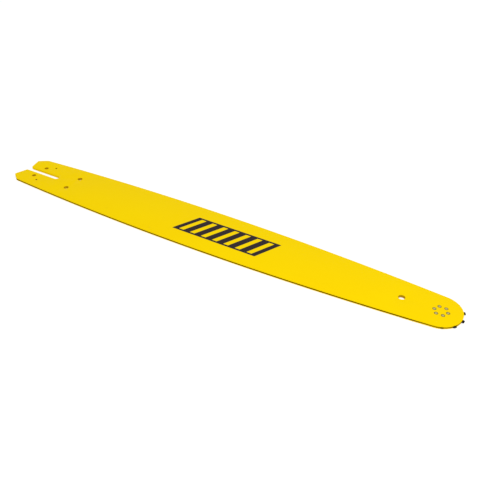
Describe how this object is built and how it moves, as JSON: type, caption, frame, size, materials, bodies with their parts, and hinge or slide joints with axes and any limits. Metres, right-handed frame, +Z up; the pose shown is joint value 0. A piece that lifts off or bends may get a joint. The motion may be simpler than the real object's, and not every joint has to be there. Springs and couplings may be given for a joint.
{
  "type": "chainsaw guide bar",
  "caption": "Long flat guide bar with a slotted tail, a chain groove round its edge and a toothed sprocket that turns on a roller bearing in its nose.",
  "frame": {"origin": "midway between the two large locating holes of the tail, on the lower face", "axes": "+X along the bar towards the nose, +Y across the bar, +Z up through its thickness"},
  "size_m": [0.855, 0.1112, 0.0048],
  "materials": {
    "bar_paint": "smooth yellow enamel with a soft gloss",
    "star_steel": "hardened steel, oil blackened",
    "rivet_steel": "bare steel, ground flush",
    "race_steel": "hardened and ground",
    "roller_steel": "polished bearing steel"
  },
  "bodies": {
    "bar": {"bar_body": "bar_paint", "bearing_race": "race_steel", "nose_rivets": "rivet_steel"},
    "sprocket": {"nose_sprocket": "star_steel"},
    "roller_ring": {"bearing_roller_01": "roller_steel", "bearing_roller_02": "roller_steel", "bearing_roller_03": "roller_steel", "bearing_roller_04": "roller_steel", "bearing_roller_05": "roller_steel", "bearing_roller_06": "roller_steel", "bearing_roller_07": "roller_steel", "bearing_roller_08": "roller_steel", "bearing_roller_09": "roller_steel", "bearing_roller_10": "roller_steel", "bearing_roller_11": "roller_steel", "bearing_roller_12": "roller_steel", "bearing_roller_13": "roller_steel", "bearing_roller_14": "roller_steel", "bearing_roller_15": "roller_steel", "bearing_roller_16": "roller_steel", "bearing_roller_17": "roller_steel", "bearing_roller_18": "roller_steel", "bearing_roller_19": "roller_steel", "bearing_roller_20": "roller_steel", "bearing_roller_21": "roller_steel", "bearing_roller_22": "roller_steel", "bearing_roller_23": "roller_steel", "bearing_roller_24": "roller_steel", "bearing_roller_25": "roller_steel", "bearing_roller_26": "roller_steel", "bearing_roller_27": "roller_steel", "bearing_roller_28": "roller_steel", "bearing_roller_29": "roller_steel", "bearing_roller_30": "roller_steel", "bearing_roller_31": "roller_steel", "bearing_roller_32": "roller_steel", "bearing_roller_33": "roller_steel"}
  },
  "joints": [
    {"name": "sprocket_spin", "type": "hinge", "parent": "bar", "child": "sprocket", "pos_m": [0.7, 0, 0.0024], "axis": [0, 0, 1], "continuous": true},
    {"name": "roller_orbit", "type": "hinge", "parent": "bar", "child": "roller_ring", "pos_m": [0.7, 0, 0.0024], "axis": [0, 0, 1], "continuous": true}
  ],
  "couplings": [
    {"joint": "roller_orbit", "follows": "sprocket_spin", "ratio": 0.54829}
  ]
}
